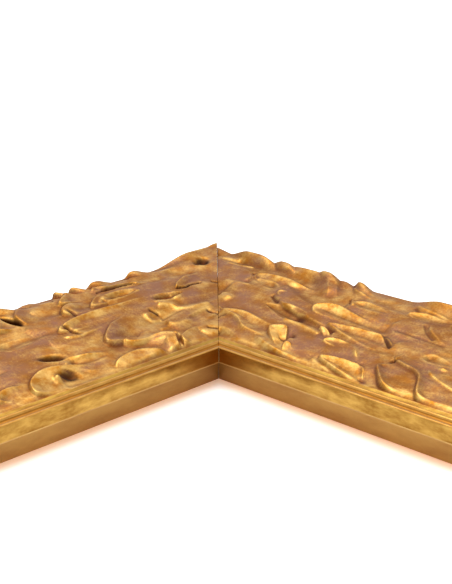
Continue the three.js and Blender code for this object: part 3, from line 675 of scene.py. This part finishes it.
def band_points():
    low = RABBET_HEIGHT + LIP_ROUND
    top = SIGHT_HEIGHT - ARRIS_SOFTNESS
    return [(0, low + (top - low) * share) for share in np.linspace(0.1, 1, BAND_STEPS)]


def quirk_points(bead_end):
    """The flat of the sight edge, the sunk channel and the second thin edge, each with its finish."""
    points = [(0.1, SIGHT_HEIGHT - 0.1, "edge"), (ARRIS_SOFTNESS, SIGHT_HEIGHT, "edge")]
    for across in np.linspace(ARRIS_WIDTH - 0.3, bead_end - 0.2, QUIRK_STEPS):
        middle = (across - ARRIS_WIDTH - QUIRK_WIDTH / 2) / (QUIRK_WIDTH / 2)
        drop = QUIRK_DEPTH * np.exp(-abs(middle) ** QUIRK_SQUARENESS)
        kind = "channel" if abs(middle) < 1 else "edge"
        points.append((across, nominal_height(across) - drop, kind))
    return points


def cove_points(bead_end):
    """The plain hollow, which ends at the carving's background."""
    points = []
    for share in np.linspace(0.05, 1, COVE_STEPS):
        across = bead_end + COVE_WIDTH * share
        drop = COVE_DEPTH * max(sin(pi * share ** COVE_LEAN), 0) - GROUND * SCALE * share
        points.append((across, nominal_height(across) - drop))
    return points


def plain_section():
    """Points (across, height) and their finish, from the back of the rabbet to the start of the carving."""
    bead_end = ARRIS_WIDTH + QUIRK_WIDTH + BEAD_WIDTH
    points = [(*point, "bronze") for point in lip_points()]
    points += [(*point, "band") for point in band_points()]
    points += quirk_points(bead_end)
    points += [(*point, "cove") for point in cove_points(bead_end)]
    return points


def blurred(field, reach):
    """Mean of the field over a square of that many cells each way, made by running sums."""
    for axis in (0, 1):
        padded = np.concatenate([np.repeat(np.take(field, [0], axis), reach, axis), field,
                                 np.repeat(np.take(field, [-1], axis), reach, axis)], axis)
        total = np.cumsum(padded, axis)
        total = np.concatenate([np.zeros_like(np.take(total, [0], axis)), total], axis)
        size = 2 * reach + 1
        count = field.shape[axis]
        high = np.take(total, range(size, size + count), axis)
        low = np.take(total, range(count), axis)
        field = (high - low) / size
    return field


def carved_rows(carving, along, across, carved_start, top):
    """Height, tone and painted shade with dirt of the carved rows, which start level with the hollow's edge.
    """
    relief, tone, grime = carved_surface(carving, along / SCALE, across / SCALE)
    relief = (relief + blurred(relief, 1)) / 2
    entry = ease((across - carved_start) / ENTRY_WIDTH)
    relief = GROUND + (relief - GROUND) * entry
    return np.minimum(nominal_height(across) + relief * SCALE, top), tone, grime


def rail_faces(rows, finish, hand):
    """Corners and finish of each face of the skin round the rail, and of its two ends."""
    corner = np.arange(rows * STATIONS).reshape(rows, STATIONS)
    following = np.roll(corner, -1, axis=0)
    quads = np.stack([corner[:, :-1], corner[:, 1:], following[:, 1:], following[:, :-1]], -1)
    mitre_end = corner[:, 0]
    cut_end = corner[::-1, -1]
    if hand < 0:
        quads = quads[..., ::-1]
        mitre_end = mitre_end[::-1]
        cut_end = cut_end[::-1]
    slots = {kind: index for index, kind in enumerate(FINISHES)}
    row_slots = [slots[kind] for kind in finish[1:]] + [slots["wood"]]
    faces = quads.reshape(-1, 4).tolist() + [mitre_end.tolist(), cut_end.tolist()]
    face_slots = np.repeat(row_slots, STATIONS - 1).tolist() + [slots["wood"]] * 2
    return faces, face_slots


def rail_grid(carving, top):
    """Grid of points round one rail, one row for each point of its section, and the finish of each row.

    Gives the places along, across and up, the finishes, which rows are carved, and their tone and painted
    shade with dirt.
    """
    plain = plain_section()
    carved_start = plain[-1][0]
    carved_across = np.linspace(carved_start, FACE_WIDTH, CARVED_ROWS + 1)[1:]
    across = [point[0] for point in plain] + list(carved_across) + [FACE_WIDTH] * len(SIDE_STEPS)
    finish = [point[2] for point in plain] + ["carving"] * CARVED_ROWS + ["side"] * len(SIDE_STEPS)
    across = np.array(across)
    start = np.maximum(SEAM / sqrt(2) - across, MITRE_GAP / sqrt(2) - FACE_WIDTH)
    share = np.linspace(0, 1, STATIONS)
    along = start[:, None] + (SIGHT_LENGTH - start[:, None]) * share[None, :]
    across = np.broadcast_to(across[:, None], along.shape)
    height = np.empty(along.shape)
    for row, point in enumerate(plain):
        height[row] = point[1]
    carved = slice(len(plain), len(plain) + CARVED_ROWS)
    height[carved], tone, grime = carved_rows(carving, along[carved], across[carved], carved_start, top)
    for step, part in enumerate(SIDE_STEPS):
        height[carved.stop + step] = height[carved.stop - 1] * part
    return along, across, height, finish, carved, tone, grime


def rail_mesh(name, carving, hand, top):
    """One closed rail. It runs from the mitre to the square cut, and hand is 1 or -1 for its direction."""
    along, across, height, finish, carved, tone, grime = rail_grid(carving, top)
    verts = np.stack([along * hand, across, height], -1).reshape(-1, 3)
    turn = Matrix.Rotation(0 if hand > 0 else pi / 2, 3, "Z")
    placed = verts @ np.array(turn).T + np.array(SIGHT_CORNER)
    faces, face_slots = rail_faces(len(finish), finish, hand)
    mesh = bpy.data.meshes.new(name)
    mesh.from_pydata((placed * MM).tolist(), [], faces)
    mesh.polygons.foreach_set("material_index", face_slots)
    mesh.polygons.foreach_set("use_smooth", [True] * (len(faces) - 2) + [False] * 2)
    drawing = mesh.attributes.new("drawing", "FLOAT_VECTOR", "POINT")
    drawing.data.foreach_set("vector", np.stack([along, across, height], -1).ravel())
    add_tone(mesh, height, carved, tone, grime)
    piece = bpy.data.objects.new(name, mesh)
    bpy.context.scene.collection.objects.link(piece)
    return piece


# Painted shade with pooled toning in the hollows, and wear on the crests, read from how far the face stands
# above or below its mean over this many cells each way
NEAR_CELLS = 3
WIDE_CELLS = 9
HOLLOW_SHADE_BY_WIDE = -0.5  # painted shade, with pooled toning, of the hollows for each millimetre above that mean
HOLLOW_SHADE_BY_NEAR = -1.2
MOST_HOLLOW_SHADE = 0.9
WORN_RISE = 0.2  # a crest that stands this far out is rubbed clean


def add_tone(mesh, height, carved, carved_tone, carved_shade_and_grime):
    """Stores where toning, painted shade in the hollows, painted shade with dirt in the deep marks, and wear
    lie, each from 0 to 1.
    """
    face = height[carved]
    near = face - blurred(face, NEAR_CELLS)
    wide = face - blurred(face, WIDE_CELLS)
    carved_layers = {
        # painted shade, with pooled toning, where the face lies below its mean
        "hollow": np.clip(HOLLOW_SHADE_BY_WIDE * wide + HOLLOW_SHADE_BY_NEAR * near, 0, MOST_HOLLOW_SHADE),
        "worn": np.clip(near / WORN_RISE, 0, 1),
        "tone": carved_tone,
        "grime": carved_shade_and_grime,
    }
    for name, values in carved_layers.items():
        layer = np.full(height.shape, PLAIN_TONE if name == "tone" else 0.0)
        layer[carved] = values
        stored = mesh.attributes.new(name, "FLOAT", "POINT")
        stored.data.foreach_set("value", layer.astype(np.float32).ravel())


# Colours
LEAF_SHADE = "#AA6E20"  # gold leaf under a film of brown toning
LEAF_LIGHT = "#CBA058"  # clean gold leaf
TONING_COOL = "#875A3F"  # dull brown left on the flats by umber toning over red bole
TONING_WARM = "#8A5414"
# painted shade, with pooled toning, in the hollows and creases
HOLLOW_SHADE_BROWN = "#5A2604"
# painted shade, with some dirt, in the cuts and pits
SHADE_AND_GRIME_BROWN = "#2E1000"
CORNER_SHADE_BROWN = "#864E02"  # painted shade in the inner corner beside the joint
FILLER = "#8A6C44"  # pale filler rubbed into the joint
WOOD_DARK = "#A88155"
WOOD_LIGHT = "#D2B083"
# painted warm reflection of the bronze foot on the sheet
PAINTED_WARM_REFLECTION = "#EFCAAC"
SHEET_WHITE = "#F4F3F1"

# Pattern sizes in millimetres
RUBBING = 7  # strokes of the cloth that rubbed the toning back
FLECKS = 0.9  # worn specks of a few tenths, drawn as coarse as they need to be to show
TONING_PATCHES = 12
TONING_FILM = 5
BRUSHED_GESSO = 0.7  # brush marks of a few tenths, drawn coarser so that they show
PLAIN_GESSO = 0.8
GRAIN = 2.2  # rings of the softwood
GRAIN_STRETCH = (1 / 40, 1, 0.3)  # grain runs on 40 times as far along the rail
STREAK = 3  # mottling of the plain mouldings is this many times as long as it is wide
FILLER_WIDTH = 0.45
CORNER_SHADE_REACH = (3, 24)  # distance from the joint, along and across added, over which the corner's painted shade fades

# Inputs of a colour mix, and what it needs besides
SHARE = 0
FIRST = 6
SECOND = 7
COLOUR_MIX = {"output": 2, "data_type": "RGBA"}


def linear(hex_colour):
    """Linear red, green and blue of an sRGB hex colour."""
    parts = [int(hex_colour[i:i + 2], 16) / 255 for i in (1, 3, 5)]
    return tuple(p / 12.92 if p <= 0.04045 else ((p + 0.055) / 1.055) ** 2.4 for p in parts) + (1.0,)


def fill_inputs(material, node, values):
    """Fills a node's inputs with values or links."""
    for socket, value in values.items():
        if isinstance(value, bpy.types.NodeSocket):
            material.node_tree.links.new(value, node.inputs[socket])
        else:
            node.inputs[socket].default_value = value


def add_node(material, kind, inputs=None, output=0, **settings):
    """Adds a node with its settings, fills its inputs with values or links, and gives one of its outputs."""
    made = material.node_tree.nodes.new("ShaderNode" + kind)
    for name, value in settings.items():
        setattr(made, name, value)
    fill_inputs(material, made, inputs or {})
    return made.outputs[output]


def new_material(name):
    material = bpy.data.materials.new(name)
    material.use_nodes = True
    return material, material.node_tree.nodes["Principled BSDF"]


def rubbed_gold(material, place):
    """Share of clean gold, from the drawn tone, the strokes of the cloth, worn flecks and rubbed crests."""
    tone = add_node(material, "Attribute", output="Fac", attribute_name="tone")
    worn = add_node(material, "Attribute", output="Fac", attribute_name="worn")
    strokes = add_node(material, "TexNoise", {"Vector": place, "Scale": 1 / RUBBING, "Detail": 4,
                                              "Roughness": 0.6})
    strokes = add_node(material, "MapRange", {"Value": strokes, "From Min": 0.35, "From Max": 0.65,
                                              "To Min": -0.2, "To Max": 0.2})
    flecks = add_node(material, "TexNoise", {"Vector": place, "Scale": 1 / FLECKS, "Detail": 3,
                                             "Roughness": 0.7})
    flecks = add_node(material, "MapRange", {"Value": flecks, "From Min": 0.3, "From Max": 0.7,
                                             "To Min": -0.28, "To Max": 0.28})
    gold = add_node(material, "Math", {0: tone, 1: strokes}, operation="ADD")
    gold = add_node(material, "Math", {0: gold, 1: flecks}, operation="ADD")
    return add_node(material, "Math", {0: worn, 1: 0.45, 2: gold}, operation="MULTIPLY_ADD", use_clamp=True)


def carving_colour(material, place, gold, grime):
    """Leaf and toning, each of two shades, under the painted shade of the hollows and the painted shade with
    dirt of the deep marks.
    """
    hollow = add_node(material, "Attribute", output="Fac", attribute_name="hollow")
    patch = add_node(material, "TexNoise", {"Vector": place, "Scale": 1 / TONING_PATCHES, "Detail": 3,
                                            "Roughness": 0.5})
    patch = add_node(material, "MapRange", {"Value": patch, "From Min": 0.38, "From Max": 0.62})
    film = add_node(material, "TexNoise", {"Vector": place, "Scale": 1 / TONING_FILM, "Detail": 4,
                                           "Roughness": 0.6})
    film = add_node(material, "MapRange", {"Value": film, "From Min": 0.36, "From Max": 0.62})
    gilt = add_node(material, "Mix", {SHARE: film, FIRST: linear(LEAF_SHADE), SECOND: linear(LEAF_LIGHT)},
                    **COLOUR_MIX)
    colour = add_node(material, "Mix", {SHARE: patch, FIRST: linear(TONING_COOL),
                                        SECOND: linear(TONING_WARM)}, **COLOUR_MIX)
    # painted shade of the hollows, then painted shade with dirt in the deep marks
    for share, above in ((gold, gilt), (hollow, linear(HOLLOW_SHADE_BROWN)), (grime, linear(SHADE_AND_GRIME_BROWN))):
        colour = add_node(material, "Mix", {SHARE: share, FIRST: colour, SECOND: above}, **COLOUR_MIX)
    return colour


def gilded_carving():
    """Gold leaf laid over red bole on carved gesso, toned with umber and rubbed back with a cloth.

    The eye gets clean gold on the crests, a dull brown film on the flats, and in the cuts a nearly black
    brown that is painted shade with some dirt.
    """
    material, shader = new_material("toned gold leaf on carved gesso")
    place = add_node(material, "Attribute", output="Vector", attribute_name="drawing")
    grime = add_node(material, "Attribute", output="Fac", attribute_name="grime")
    gold = rubbed_gold(material, place)
    colour = carving_colour(material, place, gold, grime)
    metal = add_node(material, "MapRange", {"Value": gold, "To Min": 0.88, "To Max": 1.0})
    metal = add_node(material, "Math", {0: metal, 1: grime}, operation="MAXIMUM")
    rough = add_node(material, "MapRange", {"Value": gold, "To Min": 0.55, "To Max": 0.43})
    grain = add_node(material, "TexNoise", {"Vector": place, "Scale": 1 / BRUSHED_GESSO, "Detail": 5,
                                            "Roughness": 0.6})
    bump = add_node(material, "Bump", {"Height": grain, "Strength": 0.3, "Distance": 0.15 * MM})
    fill_inputs(material, shader, {"Base Color": colour, "Metallic": metal, "Roughness": rough,
                                   "Normal": bump})
    return material


def plain_moulding(name, shade, light, roughness, metallic, patch, corner, filled):
    """Leaf or paint on a plain moulding, mottled in patches that many millimetres across.

    corner is how much painted shade darkens it beside the joint, and filled how much of the filler shows in
    the joint.
    """
    material, shader = new_material(name)
    place = add_node(material, "Attribute", output="Vector", attribute_name="drawing")
    drawn_out = add_node(material, "Mapping", {"Vector": place, "Scale": (1 / STREAK, 1, 1)})
    cloud = add_node(material, "TexNoise", {"Vector": drawn_out, "Scale": 1 / patch, "Detail": 5,
                                            "Roughness": 0.65})
    share = add_node(material, "MapRange", {"Value": cloud, "From Min": 0.36, "From Max": 0.64})
    colour = add_node(material, "Mix", {SHARE: share, FIRST: linear(shade), SECOND: linear(light)},
                      **COLOUR_MIX)
    along = add_node(material, "SeparateXYZ", {0: place})
    across = add_node(material, "SeparateXYZ", {0: place}, output=1)
    from_joint = add_node(material, "Math", {0: along, 1: across}, operation="ADD")
    # painted shade in the inner corner, fading away from the joint
    corner_shading = add_node(material, "MapRange", {"Value": from_joint, "From Min": CORNER_SHADE_REACH[0],
                                              "From Max": CORNER_SHADE_REACH[1], "To Min": corner, "To Max": 0.0})
    filler = add_node(material, "MapRange", {"Value": from_joint, "From Min": FILLER_WIDTH / 2,
                                             "From Max": FILLER_WIDTH, "To Min": filled, "To Max": 0.0})
    for share, above in ((corner_shading, CORNER_SHADE_BROWN), (filler, FILLER)):
        colour = add_node(material, "Mix", {SHARE: share, FIRST: colour, SECOND: linear(above)}, **COLOUR_MIX)
    bare = add_node(material, "Math", {0: 1.0, 1: filler}, operation="SUBTRACT")
    metal = add_node(material, "Math", {0: bare, 1: metallic}, operation="MULTIPLY")
    rough = add_node(material, "MapRange", {"Value": cloud, "From Min": 0.36, "From Max": 0.64,
                                            "To Min": roughness + 0.06, "To Max": roughness - 0.06})
    grain = add_node(material, "TexNoise", {"Vector": place, "Scale": 1 / PLAIN_GESSO, "Detail": 4,
                                            "Roughness": 0.6})
    bump = add_node(material, "Bump", {"Height": grain, "Strength": 0.15, "Distance": 0.1 * MM})
    fill_inputs(material, shader, {"Base Color": colour, "Metallic": metal, "Roughness": rough,
                                   "Normal": bump})
    return material


def bare_wood():
    """Sawn pale softwood: dry, matt, with light and dark streaks of grain along the rail."""
    material, shader = new_material("bare pale softwood")
    place = add_node(material, "Attribute", output="Vector", attribute_name="drawing")
    drawn_out = add_node(material, "Mapping", {"Vector": place, "Scale": GRAIN_STRETCH})
    rings = add_node(material, "TexNoise", {"Vector": drawn_out, "Scale": 1 / GRAIN, "Detail": 4,
                                            "Roughness": 0.55})
    share = add_node(material, "MapRange", {"Value": rings, "From Min": 0.38, "From Max": 0.62})
    colour = add_node(material, "Mix", {SHARE: share, FIRST: linear(WOOD_DARK), SECOND: linear(WOOD_LIGHT)},
                      **COLOUR_MIX)
    bump = add_node(material, "Bump", {"Height": rings, "Strength": 0.3, "Distance": 0.1 * MM})
    fill_inputs(material, shader, {"Base Color": colour, "Metallic": 0.0, "Roughness": 0.7, "Normal": bump})
    return material


FINISHES = {
    "carving": gilded_carving(),
    # Leaf burnished over bole: cloudy darker and lighter gold with a clear sheen, and painted shade in the
    # corner
    "band": plain_moulding("mottled burnished leaf on the band", "#86591A", "#BC9246", roughness=0.36,
                           metallic=0.9, patch=5, corner=0.8, filled=0.7),
    # Bronze powder paint, brushed: an even, duller brownish gold with a soft sheen, and painted shade in the
    # corner
    "bronze": plain_moulding("bronze paint on the lower face", "#AC8040", "#C49C54", roughness=0.5,
                             metallic=0.4, patch=9, corner=0.55, filled=0.7),
    # Leaf rubbed by handling, and painted lighter than the band as a highlight: two fine lines of light
    "edge": plain_moulding("bright leaf on the thin edges", "#AC7430", "#C69448", roughness=0.36,
                           metallic=0.9, patch=3, corner=0.0, filled=0.2),
    # Toning that pooled on leaf: a matt orange-brown line
    "channel": plain_moulding("orange toning in the channel", "#86540E", "#A46A18", roughness=0.45,
                              metallic=0.75, patch=4, corner=0.0, filled=0.0),
    # Leaf on smooth gesso: long soft reflections in yellow gold
    "cove": plain_moulding("smooth leaf in the hollow", "#865A1A", "#B08836", roughness=0.38,
                           metallic=0.85, patch=5, corner=0.0, filled=0.0),
    # Thin leaf under much toning: dull and brownish, with little sheen
    "side": plain_moulding("toned leaf on the outer side", "#8A5A2C", "#A8743C", roughness=0.5,
                           metallic=0.5, patch=8, corner=0.0, filled=0.0),
    "wood": bare_wood(),
}


def add_rail(node, carving, hand, top):
    piece = rail_mesh(node + "_gilded", carving, hand, top)
    for finish in FINISHES.values():
        piece.data.materials.append(finish)
    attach(piece, "root")
    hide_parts(node)


add_rail("rail_left", LEFT_CARVING, -1, LEFT_TOP)
add_rail("rail_right", RIGHT_CARVING, 1, RIGHT_TOP)


# Stage
FLOOR_REACH = 3.0  # metres
FLOOR_GLOW = 0.4  # light that the floor gives off, as a lit white sheet does
RAIL_END = 96  # how far the rails run from the middle
GLOW_REACH = 10  # how far from the moulding's foot the painted warm reflection on the table reaches
GLOW_CORNER = 2  # rounding of the painted warm reflection's inner corner
STUDIO_LIGHT = 1.02
LAMP_SIZE = (0.9, 0.7)  # metres
LAMP_PLACE = (-0.12, 0.1, 0.9)  # to the right of the picture, away from the camera, and up, in metres
LAMP_POWER = 6.7


def distance_from_foot(material):
    """How far a place on the table is from the nearer rail's foot, or past the rails' cut ends."""
    place = add_node(material, "TexCoord", output="Object")
    right = add_node(material, "SeparateXYZ", {0: place})
    away = add_node(material, "SeparateXYZ", {0: place}, output=1)
    right_foot = (SIGHT_CORNER.y + RABBET_WIDTH) * MM
    left_foot = (SIGHT_CORNER.x - RABBET_WIDTH) * MM
    from_right = add_node(material, "Math", {0: right_foot, 1: away}, operation="SUBTRACT")
    from_left = add_node(material, "Math", {0: right, 1: left_foot}, operation="SUBTRACT")
    nearest = add_node(material, "Math", {0: from_right, 1: from_left, 2: GLOW_CORNER * MM},
                       operation="SMOOTH_MIN")
    nearest = add_node(material, "Math", {0: nearest}, operation="ABSOLUTE")
    past_right = add_node(material, "Math", {0: right, 1: RAIL_END * MM}, operation="SUBTRACT")
    past_left = add_node(material, "Math", {0: -RAIL_END * MM, 1: away}, operation="SUBTRACT")
    past_end = add_node(material, "Math", {0: past_right, 1: past_left}, operation="MAXIMUM")
    past_end = add_node(material, "Math", {0: past_end, 1: 0.0}, operation="MAXIMUM")
    return add_node(material, "Math", {0: nearest, 1: past_end}, operation="ADD")


def table_finish():
    """White sheet with a painted warm reflection of the moulding's bronze foot close to it; the sheet gives
    off light in its own colour.
    """
    material, shader = new_material("lit white table sheet")
    nearest = distance_from_foot(material)
    share = add_node(material, "MapRange", {"Value": nearest, "From Min": 0.0, "From Max": GLOW_REACH * MM},
                     interpolation_type="SMOOTHSTEP")
    colour = add_node(material, "Mix", {SHARE: share, FIRST: linear(PAINTED_WARM_REFLECTION), SECOND: linear(SHEET_WHITE)},
                      **COLOUR_MIX)
    # the sheet glows in its own colour, so the painted warm reflection gives off warm light too
    fill_inputs(material, shader, {"Base Color": colour, "Roughness": 0.6, "Emission Color": colour,
                                   "Emission Strength": FLOOR_GLOW})
    return material


def make_floor():
    mesh = bpy.data.meshes.new("floor")
    corners = [(-FLOOR_REACH, -FLOOR_REACH, 0), (FLOOR_REACH, -FLOOR_REACH, 0),
               (FLOOR_REACH, FLOOR_REACH, 0), (-FLOOR_REACH, FLOOR_REACH, 0)]
    mesh.from_pydata(corners, [], [(0, 1, 2, 3)])
    floor = bpy.data.objects.new("floor", mesh)
    floor.data.materials.append(table_finish())
    bpy.context.scene.collection.objects.link(floor)


def make_world():
    world = bpy.data.worlds.new("studio")
    world.use_nodes = True
    background_light = world.node_tree.nodes["Background"]
    background_light.inputs["Color"].default_value = (1, 1, 1, 1)
    background_light.inputs["Strength"].default_value = STUDIO_LIGHT
    bpy.context.scene.world = world


def make_softbox():
    data = bpy.data.lights.new("overhead_softbox", "AREA")
    data.shape = "RECTANGLE"
    data.size, data.size_y = LAMP_SIZE
    data.energy = LAMP_POWER
    lamp = bpy.data.objects.new("overhead_softbox", data)
    right, away, up = LAMP_PLACE
    place = IMAGE_RIGHT * right + IMAGE_AWAY * away + UP * up
    lamp.location = place
    lamp.rotation_euler = (-place).to_track_quat("-Z", "Y").to_euler()
    bpy.context.scene.collection.objects.link(lamp)


make_floor()
make_world()
make_softbox()
bpy.context.scene.view_settings.view_transform = "Standard"
